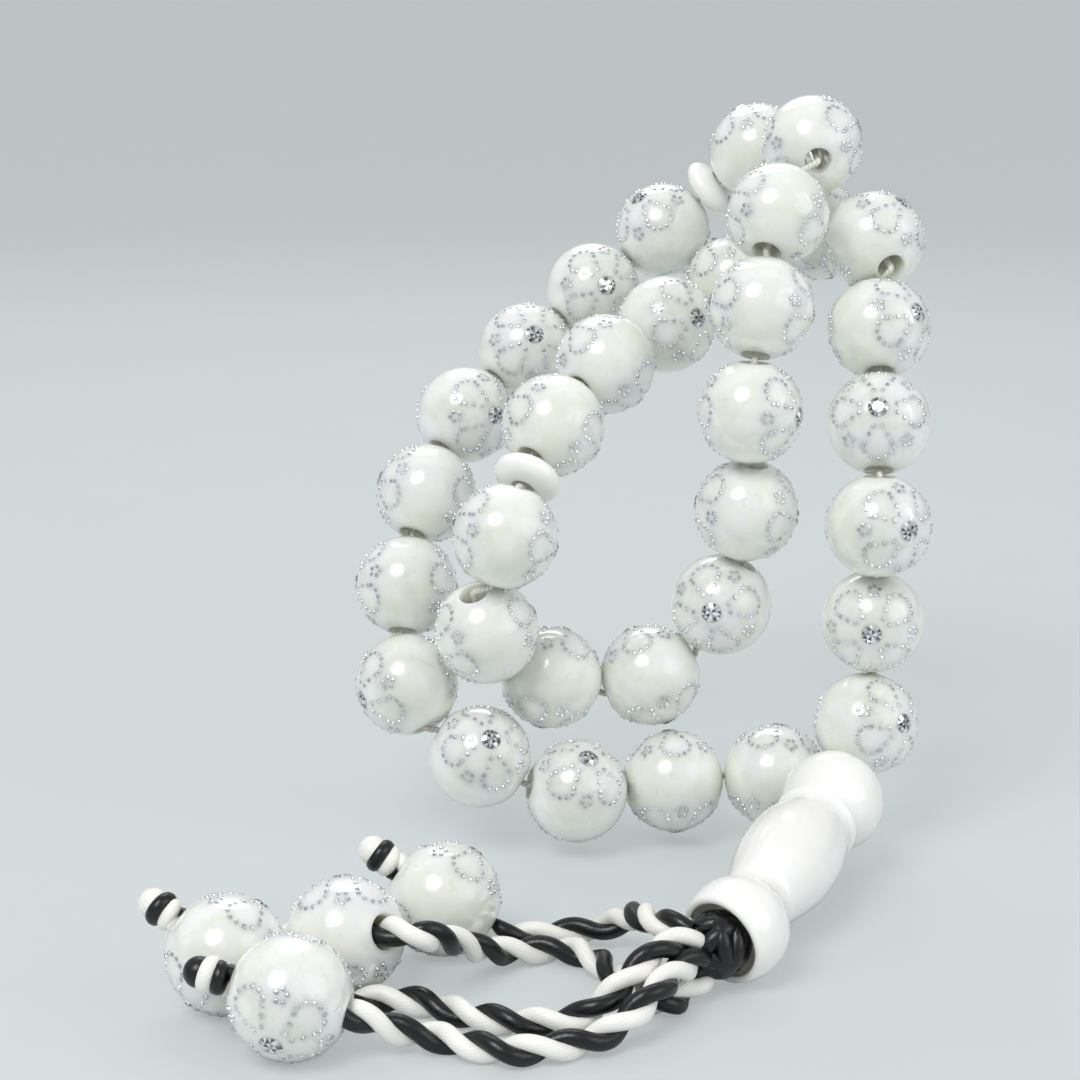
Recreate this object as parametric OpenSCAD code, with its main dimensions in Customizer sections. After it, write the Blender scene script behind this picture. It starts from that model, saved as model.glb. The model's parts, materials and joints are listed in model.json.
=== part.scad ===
// Misbaha: one closed string of thirty-three beads in three elevens, parted by two
// marker discs and ended by the imame (ball, barrel and cup) with a tassel of four
// twisted cords, each with a bead and a knot of its own.
// The string is doubled and hung up by its top; the imame and the tassel lie on the
// surface in front of it. Origin: where the fold hangs. +Z up, the tassel towards -Y.

/* [Beads] */
// Diameter of a bead
bead_d = 12; // [8:0.5:16]
// Diameter of the hole through a strung bead
bore_d = 2.8; // [1.8:0.1:4]
// Width of the hole's softened mouth
mouth_d = 4.6; // [3:0.1:5]
// Free space between neighbours on the string
bead_gap = 0.12; // [0.06:0.02:0.4]

/* [Stones] */
// Diameter of the faceted stones, two on each bead
stone_d = 2.3; // [1.2:0.1:3.5]
// Height of a stone from its seat to its table
stone_h = 0.8; // [0.4:0.1:1.2]
// How far the table stands out of the bead
stone_proud = 0.15; // [0:0.05:0.3]

/* [Marker discs] */
// Diameter of a marker disc
marker_d = 8; // [6:0.5:12]
// Thickness of a marker disc at its hole
marker_t = 3.4; // [2:0.2:6]
// Free space on each side of a marker disc
marker_gap = 0.4; // [0.3:0.05:1]

/* [String] */
// Diameter of the string through the beads
string_d = 0.5; // [0.4:0.1:1.2]

/* [Imame] */
// Diameter of the ball that gathers the two ends of the string
ball_d = 11.6; // [9:0.2:15]
// Length of the barrel
barrel_l = 20.4; // [16:0.2:32]
// Largest diameter of the barrel
barrel_d = 11; // [8:0.5:14]
// Diameter of the rim at the barrel's shoulder
collar_d = 9.6; // [7:0.2:12]
// Hole through the barrel
barrel_bore = 3.4; // [2.4:0.1:4]
// Outer diameter of the round cup
cup_d = 10.9; // [8:0.1:14]
// Wall of the cup
cup_wall = 0.7; // [0.5:0.1:1.5]
// How far the cup's mouth lies from its middle
mouth_out = 2.7; // [1.5:0.1:4]

/* [Tassel] */
// Diameter of a cord twisted from two strands
rope_d = 3; // [2:0.1:4]
// Diameter of the knot in the cup's mouth
knot_d = 7.1; // [5:0.1:9]
// Diameter of the knot behind a tassel bead
end_knot_d = 4.4; // [3.4:0.1:6]

/* [Hidden] */

pearl = [0.88, 0.89, 0.84];
white = [0.95, 0.95, 0.92];
silver = [0.80, 0.82, 0.84];
black = [0.06, 0.06, 0.07];
fine = 96;
seat_gap = 0.03;
mouth_deep = 1.5;

// Where a bead and what lies next to it stand along the string
pitch = bead_d + bead_gap;
marker_pitch = (bead_d + marker_t) / 2 + marker_gap;
ball_pitch = (bead_d + ball_d) / 2 + bead_gap;

// The course of the doubled string, from the imame's ball up the right side, twice
// round and back to the ball, for beads of 12 mm
course = [
    [3.5, -31.5, -65], [8.5, -22.5, -58], [9, -21, -44.5], [9, -22, -30.5],
    [10, -2.5, -2], [4, 7, -4], [-8, 6, -11.5], [-26, -13, -21],
    [-35.5, -30, -39], [-35.5, -24, -48], [-26.5, -18.5, -54.5], [-12, -16.5, -52],
    [-6, -18, -35], [-5.5, -19.5, -17], [-1, -7.5, 4], [3, 1, 7.5],
    [-2, 10, 6.5], [-14, 14.5, -4], [-34, 4.5, -20.5], [-43.5, -7, -33],
    [-45, -21.5, -56], [-25.5, -24, -66.5], [-15, -20.5, -66.5], [-2, -21, -65.5],
    [3.5, -31.5, -65]
];

// The course grows with what is threaded on it, and keeps its slack at the top
course_length = 421.34;
course_k = (30 * pitch + 2 * ball_pitch + 4 * marker_pitch + 1.5) / course_length;

// A smooth line through the course's points
function at(t) =
    let (n = len(course), i = min(max(floor(t), 0), n - 2), u = t - i,
         b = course[i], c = course[i + 1],
         a = i > 0 ? course[i - 1] : 2 * b - c,
         d = i + 2 < n ? course[i + 2] : 2 * c - b)
    course_k * 0.5 * (2 * b + (c - a) * u + (2 * a - 5 * b + 4 * c - d) * u * u
                      + (3 * b - a - 3 * c + d) * u * u * u);

// The place on that line whose straight distance from place t0 is d
function halved(t0, lo, hi, d, k) =
    k == 0 ? (lo + hi) / 2
    : let (m = (lo + hi) / 2)
      norm(at(m) - at(t0)) < d ? halved(t0, m, hi, d, k - 1) : halved(t0, lo, m, d, k - 1);
function next_place(t0, t, d, s) =
    norm(at(t + s) - at(t0)) < d ? next_place(t0, t + s, d, s) : halved(t0, t, t + s, d, 20);
function thread(t, gaps, s, i = 0) =
    i == len(gaps) ? []
    : let (n = next_place(t, t, gaps[i], s)) concat([n], thread(n, gaps, s, i + 1));

// Eleven beads, a marker and nine beads go up from the ball one way; eleven beads, the
// other marker and two beads go up the other way, and the slack is left between
up_gaps = concat([ball_pitch], [for (i = [1:10]) pitch], [marker_pitch, marker_pitch], [for (i = [1:8]) pitch]);
back_gaps = concat([ball_pitch], [for (i = [1:10]) pitch], [marker_pitch, marker_pitch], [pitch]);
up = [for (t = thread(0, up_gaps, 0.05)) at(t)];
back = [for (t = thread(len(course) - 1, back_gaps, -0.05)) at(t)];
ball_c = at(0);
strung = concat(up, [for (i = [len(back) - 1:-1:0]) back[i]]);
first_marker = 11;
second_marker = 23;
function is_marker(i) = i == first_marker || i == second_marker;
bead_places = [for (i = [0:len(strung) - 1]) if (!is_marker(i)) i];

function unit(v) = v / norm(v);
function neighbour(i) = i < 0 || i >= len(strung) ? ball_c : strung[i];
function hole_axis(i) = unit(neighbour(i + 1) - neighbour(i - 1));
// The two turns that bring +Z onto a direction
function turn_to(v) = [0, acos(unit(v)[2]), atan2(v[1], v[0])];
// The direction at an azimuth and a slope
function heading(az, down) = [cos(az) * cos(down), sin(az) * cos(down), -sin(down)];

// How far each bead is turned about the string, by its stones
stone_turn = [
    65, 110, 35, 175, 45, 25, 175, 15, 105, 35, 50,
    35, 40, 170, 160, 80, 40, 110, 105, 115, 65, 165,
    165, 105, 125, 100, 60, 80, 110, 45, 30, 160, 160
];

// The imame: the barrel leaves the ball one way, and the cup sits a little turned on it
barrel_dir = heading(-115, 6);
cup_dir = heading(-132, 11);
imame_gap = 0.15;
cup_c = ball_c + barrel_dir * (ball_d / 2 + barrel_l + cup_d / 2 + 2 * imame_gap);
knot_c = cup_c + cup_dir * (mouth_out + 0.6);
knot_gap = 0.06;

// The tassel lies on the surface: its beads' middles and the way each one's hole
// points, towards the cord that comes in
tassel_k = course_k;
tassel_at = [[-53.6, -77.3, -68], [-61, -67.4, -68], [-49.6, -62.8, -68], [-40.1, -53.1, -68]];
tassel_way = [[0.96, -0.14, -0.22], [0.83, -0.3, -0.47], [0.75, -0.58, 0.32], [0.83, -0.12, -0.55]];
tassel_turn = [115, 145, 165, 155];
// The way each cord leaves the head knot, and the points it lies along
rope_out = [[-0.6, -0.78, -0.1], [-0.75, -0.5, 0.4], [-0.4, -0.5, -0.75], [-0.8, -0.15, 0.6]];
rope_points = [
    [[-16.5, -69, -69], [-18.5, -72.5, -69.2], [-21.5, -75.5, -71], [-25, -77.2, -72.4],
     [-29, -78.7, -72.4], [-32.5, -79.5, -72.4], [-36, -78.5, -72.4], [-40, -76.5, -72.4], [-43.5, -77, -71.5]],
    [[-17.5, -67.2, -67.2], [-20, -69.8, -68], [-23.3, -72.4, -70.2], [-26.5, -73.5, -72],
     [-31, -73.5, -72.4], [-36.5, -72, -72.4], [-41, -69.2, -72.4], [-45, -68.2, -72.4], [-49.5, -69.6, -72.4], [-53, -70.3, -72.4]],
    [[-15.5, -66.5, -72.4], [-17, -68.7, -72.4], [-19, -68.6, -72.4], [-20.8, -66, -72.4],
     [-22.6, -62.4, -72.4], [-24.4, -58.6, -72.4], [-27.5, -56, -72.4], [-31.5, -56.5, -72.4],
     [-35.5, -59.5, -71], [-38.8, -64, -68], [-41.5, -67.8, -65.8]],
    [[-17.6, -62, -67], [-19.4, -58, -68], [-20.8, -53.3, -70], [-23.5, -51.6, -72],
     [-27, -51.6, -72.4], [-30.8, -52.6, -72.4]]
];

module placed(c, v) {
    translate(c) rotate(turn_to(v)) children();
}

// A bead with its hole along Z, and seats for two stones across it
module bead(bore, mouth, turn) {
    table = bead_d / 2 + stone_proud;
    out = sqrt(pow(bead_d / 2, 2) - pow(mouth / 2, 2));
    difference() {
        sphere(d = bead_d, $fn = fine);
        cylinder(d = bore, h = bead_d + 2, center = true, $fn = 64);
        for (s = [0, 180])
            rotate([s, 0, 0])
                translate([0, 0, out - mouth_deep])
                    cylinder(d1 = bore, d2 = mouth + (mouth - bore) * 0.5, h = mouth_deep * 1.5, $fn = 64);
        for (s = [0, 180])
            rotate([0, 90, turn + s])
                translate([0, 0, table - stone_h])
                    cylinder(d = stone_d + 2 * seat_gap, h = stone_h, $fn = 48);
    }
    for (s = [0, 180])
        rotate([0, 90, turn + s])
            translate([0, 0, table - stone_h]) stone();
}

// A round stone: a straight girdle under a bevelled crown
module stone() {
    crown = stone_h * 0.35;
    color(silver) {
        translate([0, 0, seat_gap])
            cylinder(d = stone_d, h = stone_h - crown - seat_gap, $fn = 48);
        translate([0, 0, stone_h - crown])
            cylinder(d1 = stone_d, d2 = stone_d * 0.6, h = crown, $fn = 48);
    }
}

module strung_bead(k) {
    i = bead_places[k];
    color(pearl) placed(strung[i], hole_axis(i)) bead(bore_d, mouth_d, stone_turn[k]);
}

// A lentil: a disc with a full round edge, hole along Z
module marker_disc(i) {
    r = marker_d / 2;
    h = marker_t / 2;
    edge = h * 0.55;
    color(white) placed(strung[i], hole_axis(i))
        rotate_extrude($fn = fine)
            polygon(concat(
                [[bore_d / 2, -h], [r * 0.55, -h]],
                [for (a = [-75:15:75]) [r - edge + edge * cos(a), edge * sin(a) * 1.05]],
                [[r * 0.55, h], [bore_d / 2, h]]
            ));
}

// A tube swept along points: each ring lies square to the way the tube bends there
function tube_dir(p, i) =
    unit((i < len(p) - 1 ? unit(p[i + 1] - p[i]) : [0, 0, 0])
       + (i > 0 ? unit(p[i] - p[i - 1]) : [0, 0, 0]));
function carried(n, d) = unit(n - (n * d) * d);
function frames(p, n, i = 0) =
    i == len(p) ? [] : let (m = carried(n, tube_dir(p, i))) concat([m], frames(p, m, i + 1));
module tube(p, d, sides = 8) {
    start = abs(tube_dir(p, 0)[2]) < 0.9 ? [0, 0, 1] : [1, 0, 0];
    n = frames(p, start);
    points = [for (i = [0:len(p) - 1], k = [0:sides - 1])
        let (t = tube_dir(p, i), a = 360 * k / sides)
        p[i] + d / 2 * (cos(a) * n[i] + sin(a) * cross(t, n[i]))];
    walls = [for (i = [0:len(p) - 2], k = [0:sides - 1])
        let (a = i * sides + k, b = i * sides + (k + 1) % sides)
        each [[a, a + sides, b + sides], [a, b + sides, b]]];
    last = (len(p) - 1) * sides;
    polyhedron(points, concat(
        [[for (k = [0:sides - 1]) k]],
        walls,
        [[for (k = [sides - 1:-1:0]) last + k]]
    ), convexity = 6);
}

// The string comes up from the head knot through the cup and the barrel, turns in the
// ball, passes every bead and ends against itself in the ball
function hole_half(i) = is_marker(i) ? marker_t / 2 : 0.98 * bead_d / 2;
function mouth_of(i, s) = strung[i] + s * hole_half(i) * hole_axis(i);
string_route = concat(
    [knot_c - cup_dir * (knot_d / 2 + knot_gap),
     cup_c - cup_dir * 3,
     cup_c - unit(barrel_dir + cup_dir) * (cup_d / 2 - cup_wall / 2),
     cup_c - barrel_dir * (cup_d / 2 + 4),
     ball_c],
    [for (i = [0:len(strung) - 1], s = [-1, 1]) mouth_of(i, s)],
    [ball_c + unit(mouth_of(len(strung) - 1, 1) - ball_c) * string_d * 1.2]
);
module loop_string() {
    color(white) tube(string_route, string_d);
}

// The ball of the imame: the string's two ends come in at the sides and leave together
module imame_ball() {
    ends = len(strung) - 1;
    color(white) difference() {
        translate(ball_c) sphere(d = ball_d, $fn = fine);
        placed(ball_c, barrel_dir)
            translate([0, 0, -bore_d / 3]) cylinder(d = barrel_bore, h = ball_d, $fn = 64);
        placed(ball_c, mouth_of(0, -1) - ball_c) cylinder(d = bore_d, h = ball_d, $fn = 64);
        placed(ball_c, mouth_of(ends, 1) - ball_c) cylinder(d = bore_d - 0.2, h = ball_d, $fn = 64);
    }
}

// The barrel: a rimmed shoulder, a belly, and a narrow round end at the cup
module imame_barrel() {
    first = ball_d / 2 + imame_gap;
    last = first + barrel_l;
    shoulder = collar_d / 2;
    belly = barrel_d / 2;
    foot = cup_d * 0.36;
    color(white) placed(ball_c, barrel_dir)
        rotate_extrude($fn = fine)
            polygon(concat(
                [[barrel_bore / 2, first], [shoulder - 0.8, first], [shoulder - 0.2, first + 0.25],
                 [shoulder, first + 0.7], [shoulder - 0.2, first + 1.15], [shoulder - 0.55, first + 1.5]],
                [for (k = [1:16])
                    let (f = k / 16, s = first + 1.5 + f * (barrel_l - 3.1),
                         base = (shoulder - 0.55) * (1 - f) + foot * f)
                    [base + (belly - (shoulder - 0.55 + foot) / 2) * sin(180 * pow(f, 0.92)), s]],
                [[foot - 0.5, last - 0.9], [foot - 1.3, last - 0.35], [barrel_bore / 2, last - 0.05]]
            ));
}

// The cup: a hollow round shell with a wide mouth and a hole where the string comes in
module imame_cup() {
    inner = cup_d - 2 * cup_wall;
    base_hole = barrel_bore + 0.6;
    color(white) placed(cup_c, cup_dir)
        difference() {
            sphere(d = cup_d, $fn = fine);
            sphere(d = inner, $fn = fine);
            translate([0, 0, mouth_out]) cylinder(d = cup_d + 2, h = cup_d, $fn = fine);
            rotate([180, 0, 0]) cylinder(d = base_hole, h = cup_d, $fn = 64);
        }
}

// The knot that the four cords come out of
module head_knot() {
    color(black) translate(knot_c) sphere(d = knot_d, $fn = 64);
}

// A cord leaves the head knot, follows its points and goes through its bead to its knot
end_reach = bead_d / 2 + end_knot_d / 2 + bead_gap;
function rope_route(k) =
    let (e = unit(tassel_way[k]), c = tassel_at[k] * tassel_k, out = unit(rope_out[k]))
    concat(
        [knot_c + out * (knot_d / 2 - 0.2)],
        [for (p = rope_points[k]) p * tassel_k],
        [c + e * (bead_d / 2 + 0.8), c + e * (bead_d / 2 - 1.2),
         c - e * (end_reach - end_knot_d / 2 + 0.2)]
    );
module tassel_rope(k) {
    color(black) tube(rope_route(k), rope_d);
}
module tassel_bead(k) {
    color(pearl) placed(tassel_at[k] * tassel_k, tassel_way[k])
        bead(rope_d + 0.2, rope_d + 1, tassel_turn[k]);
}
module end_knot(k) {
    color(black) translate(tassel_at[k] * tassel_k - unit(tassel_way[k]) * end_reach)
        sphere(d = end_knot_d, $fn = 48);
}

// One module call for each named piece
strung_bead(0);  // bead_01
strung_bead(1);  // bead_02
strung_bead(2);  // bead_03
strung_bead(3);  // bead_04
strung_bead(4);  // bead_05
strung_bead(5);  // bead_06
strung_bead(6);  // bead_07
strung_bead(7);  // bead_08
strung_bead(8);  // bead_09
strung_bead(9);  // bead_10
strung_bead(10);  // bead_11
strung_bead(11);  // bead_12
strung_bead(12);  // bead_13
strung_bead(13);  // bead_14
strung_bead(14);  // bead_15
strung_bead(15);  // bead_16
strung_bead(16);  // bead_17
strung_bead(17);  // bead_18
strung_bead(18);  // bead_19
strung_bead(19);  // bead_20
strung_bead(20);  // bead_21
strung_bead(21);  // bead_22
strung_bead(22);  // bead_23
strung_bead(23);  // bead_24
strung_bead(24);  // bead_25
strung_bead(25);  // bead_26
strung_bead(26);  // bead_27
strung_bead(27);  // bead_28
strung_bead(28);  // bead_29
strung_bead(29);  // bead_30
strung_bead(30);  // bead_31
strung_bead(31);  // bead_32
strung_bead(32);  // bead_33
marker_disc(first_marker);  // marker_disc_1
marker_disc(second_marker);  // marker_disc_2
loop_string();
imame_ball();
imame_barrel();
imame_cup();
head_knot();
tassel_rope(0);  // tassel_rope_1
tassel_rope(1);  // tassel_rope_2
tassel_rope(2);  // tassel_rope_3
tassel_rope(3);  // tassel_rope_4
tassel_bead(0);  // tassel_bead_1
tassel_bead(1);  // tassel_bead_2
tassel_bead(2);  // tassel_bead_3
tassel_bead(3);  // tassel_bead_4
end_knot(0);  // end_knot_1
end_knot(1);  // end_knot_2
end_knot(2);  // end_knot_3
end_knot(3);  // end_knot_4
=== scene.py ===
# %% [markdown]
# # A string of thirty-three prayer beads
#
# The object is a misbaha: thirty-three round beads of milky resin on a doubled loop of
# thread, two flat marker discs, and an imame, which is the turned head piece that the
# thread ends run through. Below it four two-coloured cords end in a bead and a knot.
#
# The lengths in this lesson are millimetres where a maker would measure them, and one
# function turns them to Blender's metres. The CAD frame comes first, because every
# bead's middle and the way its hole points are already written in it as a joint.

import json

import bpy
import numpy as np
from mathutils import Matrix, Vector

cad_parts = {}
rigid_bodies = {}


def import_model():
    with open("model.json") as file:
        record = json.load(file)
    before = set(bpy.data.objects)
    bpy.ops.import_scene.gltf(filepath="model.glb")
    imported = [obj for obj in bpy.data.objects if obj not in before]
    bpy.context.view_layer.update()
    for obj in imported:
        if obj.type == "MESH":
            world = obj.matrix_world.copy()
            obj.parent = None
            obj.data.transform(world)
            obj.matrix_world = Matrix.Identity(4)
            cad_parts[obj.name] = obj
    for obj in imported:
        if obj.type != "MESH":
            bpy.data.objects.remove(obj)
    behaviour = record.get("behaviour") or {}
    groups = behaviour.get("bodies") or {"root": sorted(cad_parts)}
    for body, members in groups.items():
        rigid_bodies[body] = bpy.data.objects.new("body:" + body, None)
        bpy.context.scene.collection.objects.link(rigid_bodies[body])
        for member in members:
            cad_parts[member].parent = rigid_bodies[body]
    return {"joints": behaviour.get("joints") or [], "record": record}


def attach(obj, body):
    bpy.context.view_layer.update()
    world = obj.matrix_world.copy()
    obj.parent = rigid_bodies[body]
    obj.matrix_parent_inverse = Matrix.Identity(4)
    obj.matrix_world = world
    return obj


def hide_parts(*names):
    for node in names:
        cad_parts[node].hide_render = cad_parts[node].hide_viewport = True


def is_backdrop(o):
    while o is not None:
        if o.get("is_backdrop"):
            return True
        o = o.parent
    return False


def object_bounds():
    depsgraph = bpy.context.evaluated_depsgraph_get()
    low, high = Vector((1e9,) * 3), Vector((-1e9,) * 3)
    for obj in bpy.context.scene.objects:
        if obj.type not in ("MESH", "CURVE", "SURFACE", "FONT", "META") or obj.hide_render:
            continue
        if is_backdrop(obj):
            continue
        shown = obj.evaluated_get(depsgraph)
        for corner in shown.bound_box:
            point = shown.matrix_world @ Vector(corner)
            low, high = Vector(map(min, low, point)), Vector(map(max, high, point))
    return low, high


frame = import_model()
cad_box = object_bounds()
bodies = frame["record"]["behaviour"]["bodies"]
body_of = {node: body for body, nodes in bodies.items() for node in nodes}
joint_of = {joint["child"]: joint for joint in frame["joints"]}

# %% [markdown]
# ## Directions and lengths
#
# A bead's joint gives a middle and a direction. A direction has a length of one, so a
# helper makes that so, and another changes a list of millimetres into an array of metres.


# %% Units and directions
MM = 0.001


def metres(values):
    """Millimetres as an array of metres: every number times a thousandth."""
    return np.asarray(values, float) * MM


def unit(vectors):
    """Each vector divided by its own length."""
    vectors = np.asarray(vectors, float)
    return vectors / np.linalg.norm(vectors, axis=-1, keepdims=True)


def joint_place(node):
    """The middle of the joint that carries a node's body, and the direction of its axis."""
    joint = joint_of[body_of[node]]
    return np.array(joint["pos_m"]), unit(joint["axis"])


# %% [markdown]
# ## The camera
#
# The object is small enough to hold in two hands, and it is looked at from a little
# above the surface that the tassel lies on. A long lens close to the surface keeps the
# beads round at the edges of the frame. The camera stands before anything else is made,
# because the free cords of the tassel are measured against what it sees.

# %% Camera
FLOOR_Z = -74 * MM
CAMERA_AT = metres([-30, -270, 21.42])
CAMERA_TILT = 76.853
LENS_MM = 73.33
SENSOR_MM = 36.0

camera_data = bpy.data.cameras.new("camera")
camera_data.lens = LENS_MM
camera_data.sensor_width = SENSOR_MM
camera_data.clip_start = 0.01
camera = bpy.data.objects.new("camera", camera_data)
camera.location = CAMERA_AT
camera.rotation_euler = (np.radians(CAMERA_TILT), 0, 0)
bpy.context.scene.collection.objects.link(camera)
bpy.context.scene.camera = camera
bpy.context.scene.view_settings.view_transform = "Standard"
print("camera", CAMERA_AT.tolist(), "tilt", CAMERA_TILT)

# %% [markdown]
# ## Where the four tassel cords run
#
# Each cord leaves the head knot, drops to the surface, wanders along it, and goes
# through its own bead to an end knot. It could be drawn as a curve by hand, but the CAD
# part already has a route for it, so the same points are written here. The first point
# lies on the knot, and the last three take the cord straight through its bead.

# %% Routes of the tassel cords
ROPE_D = 3.0 * MM
HEAD_KNOT_D = 7.1 * MM
END_KNOT_D = 4.4 * MM
BEAD_D = 12 * MM
BEAD_GAP = 0.12 * MM
END_REACH = BEAD_D / 2 + END_KNOT_D / 2 + BEAD_GAP

ROPE_OUT = [[-0.6, -0.78, -0.1], [-0.75, -0.5, 0.4], [-0.4, -0.5, -0.75], [-0.8, -0.15, 0.6]]
ROPE_POINTS = [
    [[-16.5, -69, -69], [-18.5, -72.5, -69.2], [-21.5, -75.5, -71], [-25, -77.2, -72.4],
     [-29, -78.7, -72.4], [-32.5, -79.5, -72.4], [-36, -78.5, -72.4], [-40, -76.5, -72.4],
     [-43.5, -77, -71.5]],
    [[-17.5, -67.2, -67.2], [-20, -69.8, -68], [-23.3, -72.4, -70.2], [-26.5, -73.5, -72],
     [-31, -73.5, -72.4], [-36.5, -72, -72.4], [-41, -69.2, -72.4], [-45, -68.2, -72.4],
     [-49.5, -69.6, -72.4], [-53, -70.3, -72.4]],
    [[-15.5, -66.5, -72.4], [-17, -68.7, -72.4], [-19, -68.6, -72.4], [-20.8, -66, -72.4],
     [-22.6, -62.4, -72.4], [-24.4, -58.6, -72.4], [-27.5, -56, -72.4], [-31.5, -56.5, -72.4],
     [-35.5, -59.5, -71], [-38.8, -64, -68], [-41.5, -67.8, -65.8]],
    [[-17.6, -62, -67], [-19.4, -58, -68], [-20.8, -53.3, -70], [-23.5, -51.6, -72],
     [-27, -51.6, -72.4], [-30.8, -52.6, -72.4]],
]


def smooth_route(points, step, window=5):
    """A route as an array of close points: the corners are joined by a Catmull-Rom curve,
    which goes through every one of them, then points are taken a step apart along it, and
    each is moved to the mean of its neighbours so that no kink is left."""
    points = np.asarray(points, float)
    ends = np.vstack([2 * points[0] - points[1], points, 2 * points[-1] - points[-2]])
    a, b, c, d = ends[:-3, None], ends[1:-2, None], ends[2:-1, None], ends[3:, None]
    u = np.linspace(0, 1, 16, endpoint=False)[None, :, None]
    curve = 0.5 * (2 * b + (c - a) * u + (2 * a - 5 * b + 4 * c - d) * u**2
                   + (3 * b - a - 3 * c + d) * u**3)
    return spaced(np.vstack([curve.reshape(-1, 3), points[-1:]]), step, window)


def spaced(line, step, window=5):
    """Points a step apart along a line of straight pieces, softened by a moving mean."""
    along = np.concatenate([[0], np.cumsum(np.linalg.norm(np.diff(line, axis=0), axis=1))])
    count = max(int(round(along[-1] / step)), 8)
    at = np.linspace(0, along[-1], count + 1)
    even = np.stack([np.interp(at, along, line[:, k]) for k in range(3)], axis=1)
    padded = np.pad(even, ((window // 2, window // 2), (0, 0)), mode="edge")
    kernel = np.ones(window) / window
    mean = np.stack([np.convolve(padded[:, k], kernel, "valid") for k in range(3)], axis=1)
    mean[[0, -1]] = even[[0, -1]]
    return mean


def length_of(line):
    """The sum of the distances from each point to the next."""
    return float(np.linalg.norm(np.diff(line, axis=0), axis=1).sum())


head_knot_at = np.array(joint_of[body_of["head_knot"]]["pos_m"])
rope_routes = []
for k, (out, points) in enumerate(zip(ROPE_OUT, ROPE_POINTS), 1):
    middle, way = joint_place(f"tassel_bead_{k}")
    corners = np.vstack([
        head_knot_at + unit(out) * (HEAD_KNOT_D / 2 - 0.2 * MM),
        metres(points),
        middle + way * (BEAD_D / 2 + 0.8 * MM),
        middle + way * (BEAD_D / 2 - 1.2 * MM),
        middle - way * (END_REACH - END_KNOT_D / 2 + 0.2 * MM),
    ])
    rope_routes.append(smooth_route(corners, 0.35 * MM))
    print(f"cord {k}: {length_of(rope_routes[-1]) / MM:.1f} mm")

# %% [markdown]
# ## From arrays to a mesh
#
# Every piece is one or more surfaces worked out as a grid of points: so many rows, each
# with so many columns. A grid can be closed in one direction, as a tube is, or in both,
# as a ring is. One helper lists the four corners of each face of such a grid, and
# another puts finished surfaces into one mesh, each with its own material.


# %% Grids, surfaces and meshes
def grid_faces(rows, columns, closed_rows=False, closed_columns=True):
    """The faces of a grid: each takes a point, the next in its row, and the two below."""
    r = np.arange(rows if closed_rows else rows - 1)
    c = np.arange(columns if closed_columns else columns - 1)
    r, c = (x.ravel() for x in np.meshgrid(r, c, indexing="ij"))
    r2, c2 = (r + 1) % rows, (c + 1) % columns
    return np.stack([r * columns + c, r * columns + c2, r2 * columns + c2, r2 * columns + c], axis=1)


def surface(points, faces, material, smooth=True, **values):
    """One surface of a piece: its points, its faces, its material and any values that its
    material reads, given for each point or for each face."""
    return {"points": points, "faces": faces, "material": material, "smooth": smooth, "values": values}


def build_mesh(name, surfaces):
    """Puts surfaces into one mesh, one after the other."""
    mesh = bpy.data.meshes.new(name)
    starts = np.cumsum([0] + [len(s["points"]) for s in surfaces[:-1]])
    faces = [f for s, n in zip(surfaces, starts) for f in (s["faces"] + n).tolist()]
    mesh.from_pydata(np.vstack([s["points"] for s in surfaces]).tolist(), [], faces)
    materials = list(dict.fromkeys(s["material"].name for s in surfaces))
    for material in materials:
        mesh.materials.append(bpy.data.materials[material])
    slots = [np.full(len(s["faces"]), materials.index(s["material"].name)) for s in surfaces]
    mesh.polygons.foreach_set("material_index", np.concatenate(slots).astype(np.int32))
    smooth = [np.full(len(s["faces"]), s["smooth"]) for s in surfaces]
    mesh.polygons.foreach_set("use_smooth", np.concatenate(smooth))
    for value in sorted({v for s in surfaces for v in s["values"]}):
        add_value(mesh, value, surfaces)
    mesh.update()
    return mesh


def add_value(mesh, value, surfaces):
    """A named value that a material reads: a vector at each point, or a number on each
    face. A surface that doesn't have it gets zeros."""
    width = max(np.ndim(s["values"].get(value, 0)) for s in surfaces)
    if width == 2:
        rows = [s["values"].get(value, np.zeros((len(s["points"]), 3))) for s in surfaces]
        made = mesh.attributes.new(value, "FLOAT_VECTOR", "POINT")
        made.data.foreach_set("vector", np.vstack(rows).ravel().astype(np.float32))
    else:
        rows = [s["values"].get(value, np.zeros(len(s["faces"]))) for s in surfaces]
        made = mesh.attributes.new(value, "FLOAT", "FACE")
        made.data.foreach_set("value", np.concatenate(rows).astype(np.float32))


def place_piece(name, mesh, body, slot, *nodes):
    """An object at the origin for a finished mesh, riding on a body, in place of its CAD nodes."""
    piece = bpy.data.objects.new(name, mesh)
    bpy.context.scene.collection.objects.link(piece)
    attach(piece, body)
    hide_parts(*nodes)
    return piece


# %% [markdown]
# ## Colours and nodes
#
# A colour is written as paint charts write it, in six hex digits, and Blender wants it
# in linear light. One function does that for all of them. A second one adds a node with
# its settings and its links, so that each material below reads as a short recipe.


# %% Colour and node helpers
def linear(colour):
    """sRGB hex to linear light: a channel c becomes c/12.92 when it is dark, and
    ((c + 0.055) / 1.055) to the power 2.4 when it isn't."""
    c = np.array([int(colour[i:i + 2], 16) for i in (1, 3, 5)]) / 255
    return (*np.where(c <= 0.04045, c / 12.92, ((c + 0.055) / 1.055) ** 2.4).tolist(), 1.0)


def add_node(tree, kind, inputs=None, **settings):
    """Adds one node. A setting is the node's own, and an input is a value or another
    node's output, which is linked."""
    made = tree.nodes.new(kind)
    for key, value in settings.items():
        setattr(made, key, value)
    for key, value in (inputs or {}).items():
        if isinstance(value, bpy.types.NodeSocket):
            tree.links.new(value, made.inputs[key])
        else:
            made.inputs[key].default_value = value
    return made


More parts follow.
